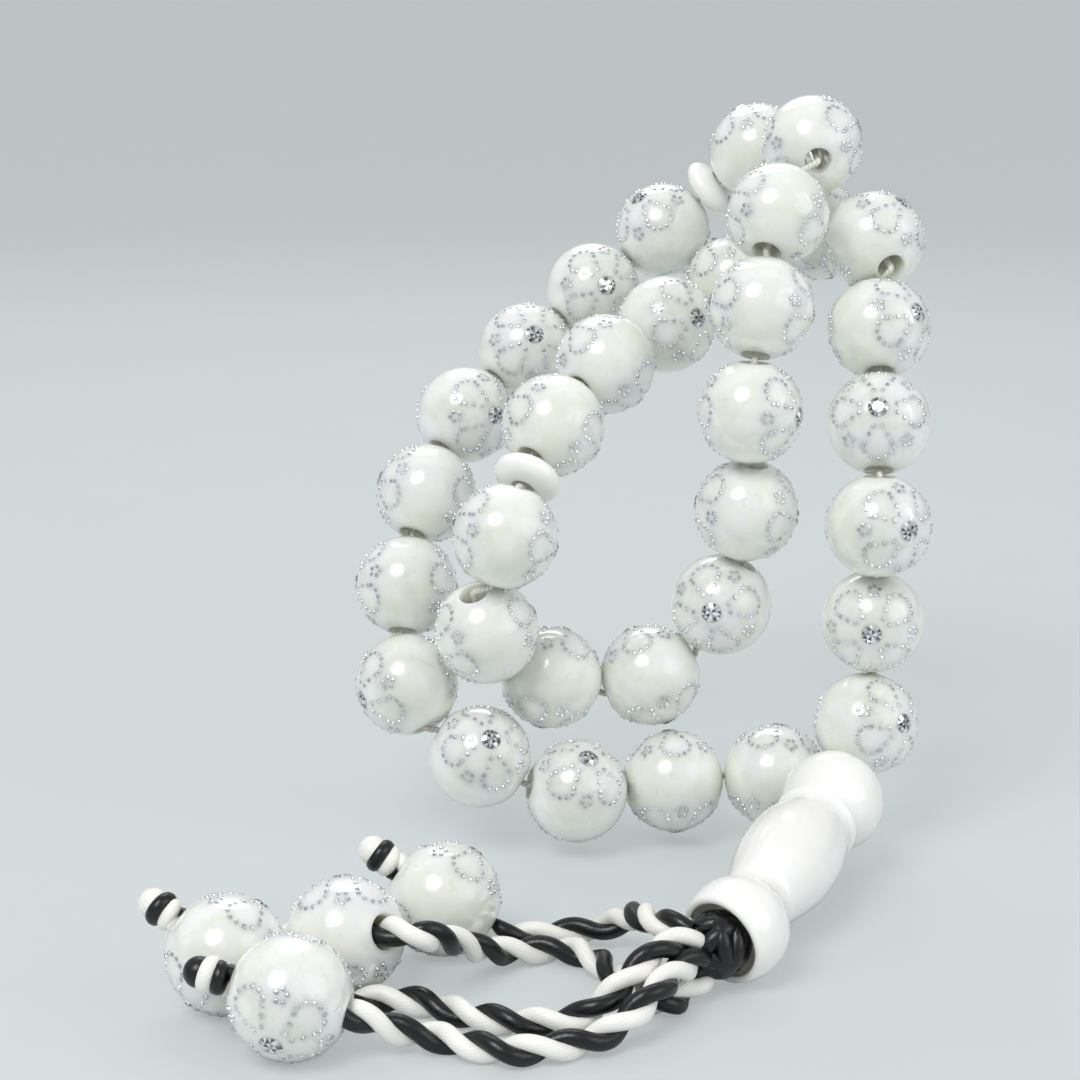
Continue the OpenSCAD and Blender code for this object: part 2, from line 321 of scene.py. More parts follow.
def open_material(name):
    """An empty material with its tree and its output node."""
    material = bpy.data.materials.new(name)
    material.use_nodes = True
    material.node_tree.nodes.clear()
    return material, material.node_tree, material.node_tree.nodes.new("ShaderNodeOutputMaterial")


# The numbers of a colour Mix node's sockets
FACTOR, COLOUR_A, COLOUR_B, MIXED = 0, 6, 7, 2

# %% [markdown]
# ## Milky bead resin
#
# The beads are cast polyester resin, clouded with a white filler and tumbled to a gloss.
# Light goes a millimetre or two into it and comes out again, which softens the shade, so
# the shader scatters below its surface. The cloud isn't even: it drifts from white to a
# faint grey green in patches of a few millimetres, with thin flow lines between them.

# %% Material: bead resin
CLOUD_MM, FLOW_MM, POLISH_MM = 5.0, 2.2, 0.35

bead_resin, tree, output = open_material("cast_polyester_resin_milky")
place = add_node(tree, "ShaderNodeTexCoord").outputs["Object"]
cloud = add_node(tree, "ShaderNodeTexNoise", {"Vector": place, "Scale": 1 / (CLOUD_MM * MM), "Detail": 2.0, "Distortion": 0.6})
spread_cloud = add_node(tree, "ShaderNodeMapRange", {"Value": cloud.outputs["Fac"], "From Min": 0.35, "From Max": 0.68})
body_colour = add_node(tree, "ShaderNodeMix", {FACTOR: spread_cloud.outputs[0], COLOUR_A: linear("#FAFBF5"), COLOUR_B: linear("#EDF0E4")}, data_type="RGBA")
flow = add_node(tree, "ShaderNodeTexNoise", {"Vector": place, "Scale": 1 / (FLOW_MM * MM), "Detail": 1.0, "Distortion": 2.4})
flow_line = add_node(tree, "ShaderNodeMapRange", {"Value": flow.outputs["Fac"], "From Min": 0.62, "From Max": 0.70, "To Max": 0.3})
resin_colour = add_node(tree, "ShaderNodeMix", {FACTOR: flow_line.outputs[0], COLOUR_A: body_colour.outputs[MIXED], COLOUR_B: linear("#DEE3D3")}, data_type="RGBA")
polish = add_node(tree, "ShaderNodeTexNoise", {"Vector": place, "Scale": 1 / (POLISH_MM * MM), "Detail": 1.0})
shine = add_node(tree, "ShaderNodeMapRange", {"Value": cloud.outputs["Fac"], "To Min": 0.10, "To Max": 0.20})
ripple = add_node(tree, "ShaderNodeBump", {"Height": polish.outputs["Fac"], "Strength": 0.12, "Distance": 0.01 * MM})
resin = add_node(tree, "ShaderNodeBsdfPrincipled", {
    "Base Color": resin_colour.outputs[MIXED], "Roughness": shine.outputs[0], "Normal": ripple.outputs[0],
    "IOR": 1.54, "Transmission Weight": 0.16, "Subsurface Weight": 0.8, "Subsurface Radius": (1.0, 0.95, 0.72), "Subsurface Scale": 1.6 * MM,
    "Coat Weight": 0.25, "Coat Roughness": 0.04,
})
tree.links.new(resin.outputs[0], output.inputs[0])
print("bead resin: clouds of", CLOUD_MM, "mm")

# %% [markdown]
# ## Silver pins and glass stones
#
# The ornament is driven in: short pins of nickel silver with domed heads, and two glass
# stones with a foiled back. The foil throws the light back through the facets, so one
# facet looks white and the next nearly black. That light and dark is a painted
# reflection: each facet carries its own number, made with the stone, and the material
# turns it into a bright or a dark metal colour.

# %% Materials: pins and stones
pin_metal, tree, output = open_material("nickel_silver_pin_heads")
place = add_node(tree, "ShaderNodeTexCoord").outputs["Object"]
tarnish = add_node(tree, "ShaderNodeTexNoise", {"Vector": place, "Scale": 1 / (1.4 * MM), "Detail": 1.0})
pin_tone = add_node(tree, "ShaderNodeMapRange", {"Value": tarnish.outputs["Fac"], "From Min": 0.35, "From Max": 0.65})
pin_colour = add_node(tree, "ShaderNodeMix", {FACTOR: pin_tone.outputs[0], COLOUR_A: linear("#FCFCFD"), COLOUR_B: linear("#C9CDD0")}, data_type="RGBA")
pins = add_node(tree, "ShaderNodeBsdfPrincipled", {"Base Color": pin_colour.outputs[MIXED], "Metallic": 1.0, "Roughness": 0.24})
tree.links.new(pins.outputs[0], output.inputs[0])

stone_glass, tree, output = open_material("foiled_glass_stone")
# Painted reflection: each facet's number mixes a dark and a bright metal colour in place of the foil's reflections
facet = add_node(tree, "ShaderNodeAttribute", attribute_name="facet").outputs["Fac"]
painted_reflection_colour = add_node(tree, "ShaderNodeMix", {FACTOR: facet, COLOUR_A: linear("#23282B"), COLOUR_B: linear("#F4F6F8")}, data_type="RGBA")
foil = add_node(tree, "ShaderNodeBsdfPrincipled", {"Base Color": painted_reflection_colour.outputs[MIXED], "Metallic": 0.9, "Roughness": 0.06, "Coat Weight": 1.0, "Coat Roughness": 0.02})
tree.links.new(foil.outputs[0], output.inputs[0])
print("materials for pins and stones made")

# %% [markdown]
# ## A bead's body
#
# A bead is a ball with a hole. Cutting the hole with a Boolean leaves a ragged rim, so
# the whole skin is turned instead: one profile goes over the outside, round the softened
# mouth, down the hole and round the other mouth, and it is carried round the hole's
# axis. Seen that way the bead is a ring with a very narrow middle, closed all over.


# %% Turned surfaces
def turned(profile, sides, closed=True):
    """A profile of distances from the axis and heights along it, carried round the axis:
    a point at distance r and height z goes to (r cos a, r sin a, z) for each angle a."""
    angle = np.linspace(0, 2 * np.pi, sides, endpoint=False)
    r, z = profile[:, 0][:, None], profile[:, 1][:, None]
    points = np.stack([r * np.cos(angle), r * np.sin(angle), z + 0 * angle], axis=-1)
    return points.reshape(-1, 3), grid_faces(len(profile), sides, closed_rows=closed)


def bent(start, corner, end, count):
    """Points on the parabola that leaves the start towards the corner and comes to the
    end from it."""
    t = np.linspace(0, 1, count)[:, None]
    return (1 - t) ** 2 * np.array(start) + 2 * t * (1 - t) * np.array(corner) + t**2 * np.array(end)


def bead_profile(radius, bore, mouth, arc_points=44):
    """Down the outside from mouth to mouth, in along the lower lip, and up the hole."""
    top = np.arcsin(mouth / radius)
    angle = np.linspace(top, np.pi - top, arc_points)
    outside = radius * np.stack([np.sin(angle), np.cos(angle)], axis=1)
    rim = outside[-1]
    deep = [bore, -(radius * 0.7)]
    lip = bent(rim, [bore + 0.15 * (mouth - bore), rim[1] * 0.985], deep, 7)[1:]
    hole = np.stack([np.full(5, bore), np.linspace(deep[1], -deep[1], 7)[1:-1]], axis=1)
    return np.vstack([outside, lip, hole, lip[::-1] * [1, -1]])


BEAD_R = BEAD_D / 2
BORE_R, MOUTH_R = 1.4 * MM, 1.78 * MM
BEAD_SIDES = 64
body_points, body_faces = turned(bead_profile(BEAD_R, BORE_R, MOUTH_R), BEAD_SIDES)
print("bead body:", len(body_points), "points,", len(body_faces), "faces")

# %% [markdown]
# ## The pin pattern
#
# Round each stone the pins draw four petals, with a small five-pin flower between each
# pair. It is a common pattern on such beads. It could be drawn as a texture, but real
# heads catch the light one by one. The pattern is laid out flat, in millimetres from the
# stone, and then wrapped on the ball: the distance from the stone becomes an angle.


# %% Pattern of the pins
PETAL_PINS, FLOWER_PINS, PETALS = 14, 5, 4


def petal_pattern(turn):
    """Flat places of all pins round one stone. A petal starts as a V near the stone, whose
    arms spread to the petal's width, and an arc joins their ends: half an oval, 1.7 mm
    long and 2 mm to each side. Flowers are small rings halfway between the petals."""
    sweep = np.radians(np.linspace(-90, 90, PETAL_PINS // 2))
    arc = np.stack([4.6 + 1.7 * np.cos(sweep), 2.0 * np.sin(sweep)], axis=1)
    arm = np.linspace(0.05, 0.78, PETAL_PINS // 4)[:, None]
    arms = [np.array([2.1, 0.45 * s]) * (1 - arm) + np.array([4.6, 2.0 * s]) * arm for s in (-1, 1)]
    petal = np.vstack([arms[0], arc, arms[1]])
    round_flower = np.linspace(0, 2 * np.pi, FLOWER_PINS, endpoint=False)
    flower = np.stack([5.4 + 0.68 * np.cos(round_flower), 0.68 * np.sin(round_flower)], axis=1)
    quarter = np.radians(turn) + np.arange(PETALS) * 2 * np.pi / PETALS
    eighth = quarter + np.pi / PETALS
    return metres(np.vstack([spun(petal, quarter), spun(flower, eighth)]))


def spun(shape, angles):
    """A flat shape turned by each angle about the stone, all copies in one array."""
    c, s = np.cos(angles)[:, None], np.sin(angles)[:, None]
    x, y = shape[:, 0], shape[:, 1]
    return np.stack([c * x - s * y, s * x + c * y], axis=-1).reshape(-1, 2)


def wrapped(flat, radius):
    """Flat places wrapped on a ball about the axis X: a place at distance d and angle a
    leaves X by the angle d / radius, towards Z for a = 0."""
    away = np.linalg.norm(flat, axis=1) / radius
    angle = np.arctan2(flat[:, 1], flat[:, 0])
    return np.stack([np.cos(away), np.sin(away) * np.sin(angle), np.sin(away) * np.cos(angle)], axis=1)


def across(directions):
    """Two directions square to each given one, for standing something on it."""
    helper = np.where(np.abs(directions[:, 2:]) < 0.9, [[0.0, 0.0, 1.0]], [[0.0, 1.0, 0.0]])
    side = unit(np.cross(helper, directions))
    return side, np.cross(directions, side)


PIN_R, PIN_PROUD, PIN_SUNK, PIN_SIDES = 0.27 * MM, 0.17 * MM, 0.08 * MM, 6
SHANK_R, SHANK_L, SHANK_SIDES = 0.13 * MM, 1.3 * MM, 5


def pin_heads(directions, radius):
    """Domed heads on a ball: a ring just under the skin, a narrower one above it, and a
    tip. With six sides each they stay light, because there are thousands of them."""
    side, other = across(directions)
    angle = np.linspace(0, 2 * np.pi, PIN_SIDES, endpoint=False)
    ring = np.stack([np.cos(angle), np.sin(angle)], axis=1)
    flat = np.vstack([ring * PIN_R, ring * PIN_R * 0.74, [[0, 0]]])
    high = np.concatenate([np.full(PIN_SIDES, -PIN_SUNK), np.full(PIN_SIDES, PIN_PROUD * 0.62), [PIN_PROUD]])
    points = (directions[:, None] * (radius + high)[None, :, None]
              + side[:, None] * flat[None, :, :1] + other[:, None] * flat[None, :, 1:])
    k = np.arange(PIN_SIDES)
    wall = np.stack([k, (k + 1) % PIN_SIDES, (k + 1) % PIN_SIDES + PIN_SIDES, k + PIN_SIDES], axis=1)
    # A cap face repeats no corner, so the tip is closed with triangles
    cap = np.stack([k + PIN_SIDES, (k + 1) % PIN_SIDES + PIN_SIDES, np.full(PIN_SIDES, 2 * PIN_SIDES)], axis=1)
    start = np.arange(len(directions))[:, None, None] * len(flat)
    return points.reshape(-1, 3), (wall[None] + start).reshape(-1, 4), (cap[None] + start).reshape(-1, 3)


def pin_shanks(directions, radius):
    """Straight shanks under the heads, tapering to half their width inside the resin,
    where they show through it as short dark ticks."""
    side, other = across(directions)
    angle = np.linspace(0, 2 * np.pi, SHANK_SIDES, endpoint=False)
    ring = np.stack([np.cos(angle), np.sin(angle)], axis=1) * SHANK_R
    flat = np.vstack([ring, ring * 0.5])
    high = np.repeat([-PIN_SUNK, -SHANK_L], SHANK_SIDES)
    points = (directions[:, None] * (radius + high)[None, :, None]
              + side[:, None] * flat[None, :, :1] + other[:, None] * flat[None, :, 1:])
    k = np.arange(SHANK_SIDES)
    k2 = (k + 1) % SHANK_SIDES
    wall = np.stack([k + SHANK_SIDES, k2 + SHANK_SIDES, k2, k], axis=1)
    start = np.arange(len(directions))[:, None, None] * len(flat)
    return points.reshape(-1, 3), (wall[None] + start).reshape(-1, 4)


one_side = wrapped(petal_pattern(0), BEAD_R)
other_side = wrapped(petal_pattern(45), BEAD_R) * [-1, -1, 1]
pin_directions = np.vstack([one_side, other_side])
pin_points, pin_walls, pin_caps = pin_heads(pin_directions, BEAD_R)
shank_points, shank_walls = pin_shanks(pin_directions, BEAD_R)
print("pins on a bead:", len(pin_directions))

# %% [markdown]
# ## The stones
#
# A stone of this kind has a flat table, a crown of facets that slope to the girdle, and
# a foiled point below, which is hidden. Only the table and the crown are made, and the
# table is split into wedges that meet in its middle, because through it the facets of
# the point show as a pinwheel of light and dark, which is painted on the wedges as a
# reflection.

# %% Cut stones
STONE_R, TABLE_R, STONE_TOP, GIRDLE_UP, STONE_FOOT = 1.15 * MM, 0.66 * MM, 6.15 * MM, 5.90 * MM, 5.70 * MM
SHARP = 8


def ring_of(radius, height, count, shift=0.0):
    """Points round the axis X at one distance and one height along it."""
    angle = (np.arange(count) + shift) * 2 * np.pi / count
    return np.stack([np.full(count, height), radius * np.cos(angle), radius * np.sin(angle)], axis=1)


def cut_stone():
    """Middle, table ring of 8, girdle of 16 and foot of 16. The faces are the table's
    wedges, the crown's facets between the rings, and the girdle's wall."""
    table, girdle, foot = 1, 1 + SHARP, 1 + 3 * SHARP
    points = np.vstack([[[STONE_TOP, 0, 0]], ring_of(TABLE_R, STONE_TOP, SHARP),
                        ring_of(STONE_R, GIRDLE_UP, 2 * SHARP), ring_of(STONE_R, STONE_FOOT, 2 * SHARP)])
    k = np.arange(SHARP)
    k2 = (k + 1) % SHARP
    left, mid, right = girdle + (2 * k - 1) % (2 * SHARP), girdle + 2 * k, girdle + 2 * k + 1
    wedges = np.stack([0 * k, table + k, table + k2], axis=1)
    crown = np.vstack([np.stack([left, mid, table + k], axis=1), np.stack([mid, right, table + k], axis=1),
                       np.stack([table + k, right, table + k2], axis=1)])
    g = np.arange(2 * SHARP)
    g2 = (g + 1) % (2 * SHARP)
    wall = np.stack([foot + g, foot + g2, girdle + g2, girdle + g], axis=1)
    wall = np.vstack([wall[:, [0, 1, 2]], wall[:, [0, 2, 3]]])
    faces = np.vstack([wedges, crown, wall])
    # Painted reflection: how bright each face's colour is, light and dark in turn as the foiled point would throw it
    # back; the girdle's wall a flat 0.75
    bright = np.concatenate([[1, 0.12, 0.85, 0.3, 1, 0.05, 0.95, 0.45], [0.9, 0.2, 1, 0.5, 0.15, 1, 0.35, 0.8],
                             [0.3, 1, 0.1, 0.9, 0.7, 0.2, 1, 0.4], [1, 0.75, 0.25, 1, 0.1, 0.9, 1, 0.15],
                             np.full(len(wall), 0.75)])
    return points, faces, bright


stone_points, stone_faces, stone_painted_reflection = cut_stone()
TURN_HALF = np.array([-1, -1, 1])
print("stone:", len(stone_faces), "facets")

# %% [markdown]
# ## The whole bead, and thirty-three of it
#
# A body, its pins and two stones make one mesh with three materials. It is made once,
# standing at the origin with its hole along Z and its first stone along X, and then
# copied. For each bead a copy's points are turned and moved to that bead's joint in one
# product of arrays. The clouds in the resin are read from the place in space, so no two
# beads share one.


# %% Bead template
def bead_surfaces(bore, mouth):
    """All the surfaces of a bead whose hole has this radius."""
    points, faces = turned(bead_profile(BEAD_R, bore, mouth), BEAD_SIDES)
    return [
        surface(points, faces, bead_resin),
        surface(pin_points, pin_walls, pin_metal),
        surface(pin_points, pin_caps, pin_metal),
        surface(shank_points, shank_walls, pin_metal),
        surface(stone_points, stone_faces, stone_glass, smooth=False, facet=stone_painted_reflection),
        surface(stone_points * TURN_HALF, stone_faces, stone_glass, smooth=False, facet=stone_painted_reflection),
    ]


def standing(axis, turn):
    """The rotation that stands Z along an axis: first by the turn about Z, then by the
    axis's slope about Y, then by its heading about Z. Its columns are the new X, Y and Z."""
    slope, heading, t = np.arccos(axis[2]), np.arctan2(axis[1], axis[0]), np.radians(turn)
    about_z = lambda a: np.array([[np.cos(a), -np.sin(a), 0], [np.sin(a), np.cos(a), 0], [0, 0, 1]])
    about_y = np.array([[np.cos(slope), 0, np.sin(slope)], [0, 1, 0], [-np.sin(slope), 0, np.cos(slope)]])
    return about_z(heading) @ about_y @ about_z(t)


def moved_copy(template, name, rotation, middle):
    """A copy of a mesh with every point turned and then moved."""
    mesh = template.copy()
    mesh.name = name
    points = np.empty(len(mesh.vertices) * 3, np.float32)
    mesh.vertices.foreach_get("co", points)
    mesh.vertices.foreach_set("co", (points.reshape(-1, 3) @ rotation.T + middle).ravel().astype(np.float32))
    mesh.update()
    return mesh


bead_template = build_mesh("bead_template", bead_surfaces(BORE_R, MOUTH_R))
print("bead template:", len(bead_template.polygons), "faces")

# %% Thread the loop's beads
STONE_TURN = [
    65, 110, 35, 175, 45, 25, 175, 15, 105, 35, 50,
    35, 40, 170, 160, 80, 40, 110, 105, 115, 65, 165,
    165, 105, 125, 100, 60, 80, 110, 45, 30, 160, 160,
]
for k, turn in enumerate(STONE_TURN, 1):
    node = f"bead_{k:02d}"
    middle, axis = joint_place(node)
    mesh = moved_copy(bead_template, f"resin_{node}", standing(axis, turn), middle)
    place_piece(f"resin_{node}", mesh, body_of[node], "bead_resin", node)
print("beads on the loop:", len(STONE_TURN))

# %% [markdown]
# ## Opaque resin for the discs and the imame
#
# The head piece and the marker discs are turned from solid white resin rather than cast
# in a milky one. It hides what is under it, goes faintly to ivory in its thicker parts,
# and keeps very fine turning lines under the polish.

# %% Material: turned white resin
turned_resin, tree, output = open_material("turned_urea_resin_white")
place = add_node(tree, "ShaderNodeTexCoord").outputs["Object"]
tone = add_node(tree, "ShaderNodeTexNoise", {"Vector": place, "Scale": 1 / (7 * MM), "Detail": 2.0})
tone_range = add_node(tree, "ShaderNodeMapRange", {"Value": tone.outputs["Fac"], "From Min": 0.35, "From Max": 0.7})
ivory = add_node(tree, "ShaderNodeMix", {FACTOR: tone_range.outputs[0], COLOUR_A: linear("#FBFAF7"), COLOUR_B: linear("#F6F4EE")}, data_type="RGBA")
lines = add_node(tree, "ShaderNodeTexNoise", {"Vector": place, "Scale": 1 / (0.4 * MM), "Detail": 2.0})
line_bump = add_node(tree, "ShaderNodeBump", {"Height": lines.outputs["Fac"], "Strength": 0.1, "Distance": 0.01 * MM})
gloss = add_node(tree, "ShaderNodeMapRange", {"Value": tone.outputs["Fac"], "To Min": 0.10, "To Max": 0.22})
white_resin = add_node(tree, "ShaderNodeBsdfPrincipled", {
    "Base Color": ivory.outputs[MIXED], "Roughness": gloss.outputs[0], "Normal": line_bump.outputs[0], "IOR": 1.5,
    "Subsurface Weight": 0.25, "Subsurface Radius": (1.0, 0.9, 0.7), "Subsurface Scale": 0.7 * MM,
    "Coat Weight": 0.4, "Coat Roughness": 0.05,
})
tree.links.new(white_resin.outputs[0], output.inputs[0])

# %% [markdown]
# ## Marker discs
#
# A marker is a lentil with a full round edge: two shallow domes that meet in it. Its
# profile goes from the hole out over one dome, round the edge and back over the other.


# %% Marker discs
def lentil_profile(radius, half, bore, points=40):
    """A full oval: the distance goes with the cosine and the height with the sine of an
    angle, each to a power a little under one, which fills out the edge. It ends at the
    hole, where three more points close it."""
    angle = np.radians(np.linspace(68, -68, points))
    full = lambda x, power: np.sign(x) * np.abs(x) ** power
    skin = np.stack([radius * full(np.cos(angle), 0.85), half * full(np.sin(angle), 0.9)], axis=1)
    top = skin[0, 1]
    inner = np.linspace(skin[0, 0], bore + 0.1 * MM, 4)[1:]
    flat = np.stack([inner[::-1], np.full(3, top)], axis=1)
    hole = np.array([[bore, top - 0.12 * MM], [bore, 0], [bore, 0.12 * MM - top]])
    return np.vstack([flat, skin, flat[::-1] * [1, -1], hole[::-1]])


DISC_R, DISC_HALF = 4.0 * MM, 1.7 * MM
disc_points, disc_faces = turned(lentil_profile(DISC_R, DISC_HALF, BORE_R), BEAD_SIDES)
disc_template = build_mesh("disc_template", [surface(disc_points, disc_faces, turned_resin)])
for k in (1, 2):
    node = f"marker_disc_{k}"
    middle, axis = joint_place(node)
    mesh = moved_copy(disc_template, f"turned_{node}", standing(axis, 0), middle)
    place_piece(f"turned_{node}", mesh, body_of[node], "marker_resin", node)
print("marker discs: 2")

# %% [markdown]
# ## The imame
#
# The head piece is three turned parts on one axis: a ball where the loop's two ends come
# together, a barrel with a rimmed shoulder, and a hollow cup whose mouth holds the
# tassel's knot. Each is one profile carried round its axis, as a lathe would cut it. The
# ball's side holes are where the loop goes in, and the barrel and the beads cover them.


# %% Imame profiles
BALL_R, BARREL_BORE, IMAME_GAP = 5.8 * MM, 1.7 * MM, 0.15 * MM
BARREL_L, BELLY_R, SHOULDER_R = 20.4 * MM, 5.5 * MM, 4.8 * MM
CUP_R, CUP_WALL, MOUTH_OUT = 5.45 * MM, 0.7 * MM, 2.7 * MM


def barrel_profile():
    """Out over the shoulder's rim, along the belly, which swells as half a sine wave on a
    straight taper, round the foot, and back up the bore."""
    first = BALL_R + IMAME_GAP
    last = first + BARREL_L
    foot = CUP_R * 0.72
    rim = np.vstack([
        bent([BARREL_BORE, first], [SHOULDER_R - 1.2 * MM, first - 0.02 * MM], [SHOULDER_R - 0.6 * MM, first + 0.1 * MM], 5),
        bent([SHOULDER_R - 0.6 * MM, first + 0.1 * MM], [SHOULDER_R + 0.12 * MM, first + 0.25 * MM], [SHOULDER_R, first + 0.85 * MM], 6)[1:],
        bent([SHOULDER_R, first + 0.85 * MM], [SHOULDER_R - 0.12 * MM, first + 1.2 * MM], [SHOULDER_R - 0.55 * MM, first + 1.45 * MM], 5)[1:],
    ])
    f = np.linspace(0, 1, 30)[1:]
    taper = (SHOULDER_R - 0.55 * MM) * (1 - f) + foot * f
    swell = (BELLY_R - (SHOULDER_R - 0.55 * MM + foot) / 2) * np.sin(np.pi * f**0.92)
    belly = np.stack([taper + swell, first + 1.5 * MM + f * (BARREL_L - 3.1 * MM)], axis=1)
    foot_end = bent(belly[-1], [foot - 0.2 * MM, last - 0.3 * MM], [BARREL_BORE, last - 0.05 * MM], 9)[1:]
    bore = np.stack([np.full(4, BARREL_BORE), np.linspace(last - 0.05 * MM, first, 6)[1:-1]], axis=1)
    return np.vstack([rim, belly, foot_end, bore])


def cup_profile():
    """The outside from the mouth to the base hole, and the inside back, with a rounded lip."""
    base = (BARREL_BORE + 0.3 * MM)
    inner = CUP_R - CUP_WALL
    lip_out = np.arccos(MOUTH_OUT / CUP_R)
    lip_in = np.arccos(MOUTH_OUT / inner)
    outside = np.linspace(lip_out + 0.05, np.pi - np.arcsin(base / CUP_R), 34)
    inside = np.linspace(np.pi - np.arcsin(base / inner), lip_in + 0.06, 30)
    ball = lambda r, a: np.stack([r * np.sin(a), r * np.cos(a)], axis=1)
    out_part, in_part = ball(CUP_R, outside), ball(inner, inside)
    middle = (out_part[0] + in_part[-1]) / 2 + [0, 0.35 * MM]
    return np.vstack([out_part, in_part, bent(in_part[-1], middle, out_part[0], 6)[1:-1]])


def ball_profile():
    """A ball whose lower pole opens into the bore that leads to the barrel."""
    open_at = np.arcsin(BARREL_BORE / BALL_R)
    angle = np.linspace(open_at + 0.04, np.pi - 0.02, 40)
    outside = BALL_R * np.stack([np.sin(angle), np.cos(angle)], axis=1)
    bore = np.array([[BARREL_BORE, BALL_R * 0.9], [BARREL_BORE, 1 * MM], [0.1 * MM, 0.6 * MM]])
    return np.vstack([bore[::-1], outside])


# %% Put the imame together
ball_at, barrel_way = joint_place("imame_barrel")
cup_at, cup_way = joint_place("imame_cup")
for node, profile, middle, way in (
    ("imame_ball", ball_profile(), ball_at, barrel_way),
    ("imame_barrel", barrel_profile(), ball_at, barrel_way),
    ("imame_cup", cup_profile(), cup_at, cup_way),
):
    points, faces = turned(profile, 96, closed=node != "imame_ball")
    if node == "imame_ball":
        # The far pole is closed with a fan of triangles to one point
        ends = np.arange(96) + (len(profile) - 1) * 96
        pole = surface(np.vstack([points[ends], [[0, 0, -BALL_R]]]), np.stack([np.arange(96), (np.arange(96) + 1) % 96, np.full(96, 96)], axis=1)[:, ::1], turned_resin)
        parts = [surface(points, faces, turned_resin), pole]
    else:
        parts = [surface(points, faces, turned_resin)]
    mesh = build_mesh(f"turned_{node}", parts)
    mesh = moved_copy(mesh, f"turned_{node}", standing(way, 0), middle)
    place_piece(f"turned_{node}", mesh, body_of[node], "imame_resin", node)
print("imame length:", round(float(np.linalg.norm(cup_at - ball_at)) / MM + 5.8 + 2.7, 1), "mm")

# %% [markdown]
# ## Cords and thread
#
# A cord is a tube round a line. A tube needs two directions square to the line at every
# point. They could be carried from ring to ring one after the other, but it is enough to
# take the direction that the line uses least, and make the two from it, all rings at once.
# Each point also keeps where it would be if the cord were pulled straight, so a pattern
# of yarns can follow the bends.


# %% Tubes along lines
def line_frames(line):
    """At each point of a line: its direction, and two directions square to it, made from
    the one that the line as a whole uses least."""
    way = unit(np.gradient(line, axis=0))
    rare = np.linalg.svd(way, full_matrices=False)[2][-1]
    side = unit(np.cross(way, rare))
    return way, side, np.cross(way, side)


def tube(line, radius, sides=14, lobes=0, lobe_depth=0.0, lay=1.0):
    """Rings round a line, closed at its ends by a point. With lobes, the radius goes in
    and out that many times round, turning once in each lay, as twisted plies do."""
    way, side, other = line_frames(line)
    along = np.concatenate([[0], np.cumsum(np.linalg.norm(np.diff(line, axis=0), axis=1))])[:, None]
    angle = np.linspace(0, 2 * np.pi, sides, endpoint=False)[None, :]
    out = radius * (1 + lobe_depth * np.cos(lobes * (angle - 2 * np.pi * along / lay)))
    x, y = out * np.cos(angle), out * np.sin(angle)
    points = (line[:, None] + x[..., None] * side[:, None] + y[..., None] * other[:, None]).reshape(-1, 3)
    straight = np.stack([x, y, along + 0 * angle], axis=-1).reshape(-1, 3)
    tips = np.vstack([line[0] - way[0] * radius * 0.25, line[-1] + way[-1] * radius * 0.25])
    rows, k = len(line), np.arange(sides)
    first, last = rows * sides, rows * sides + 1
    start = np.stack([(k + 1) % sides, k, np.full(sides, first)], axis=1)
    end = np.stack([k, (k + 1) % sides, 0 * k], axis=1) + (rows - 1) * sides
    end[:, 2] = last
    points = np.vstack([points, tips])
    straight = np.vstack([straight, [[0, 0, 0]], [[0, 0, along[-1, 0]]]])
    return points, grid_faces(rows, sides), np.vstack([start, end]), straight


def tube_surfaces(line, radius, material, **shape):
    """A tube's wall and its end caps as surfaces of a piece."""
    points, wall, caps, straight = tube(line, radius, **shape)
    return [surface(points, wall, material, straight=straight), surface(points, caps, material, straight=straight)]


# %% [markdown]
# ## Satin cord and thread
#
# The tassel's plies are satin cords of viscose, one black and one white, and the thread
# is spun polyester. Satin shows its fine yarns as slanting lines with a soft sheen. They
# are about a quarter of a millimetre apart. The pattern is a sine wave of the angle round
# the ply and the length along it, so it winds without a seam.


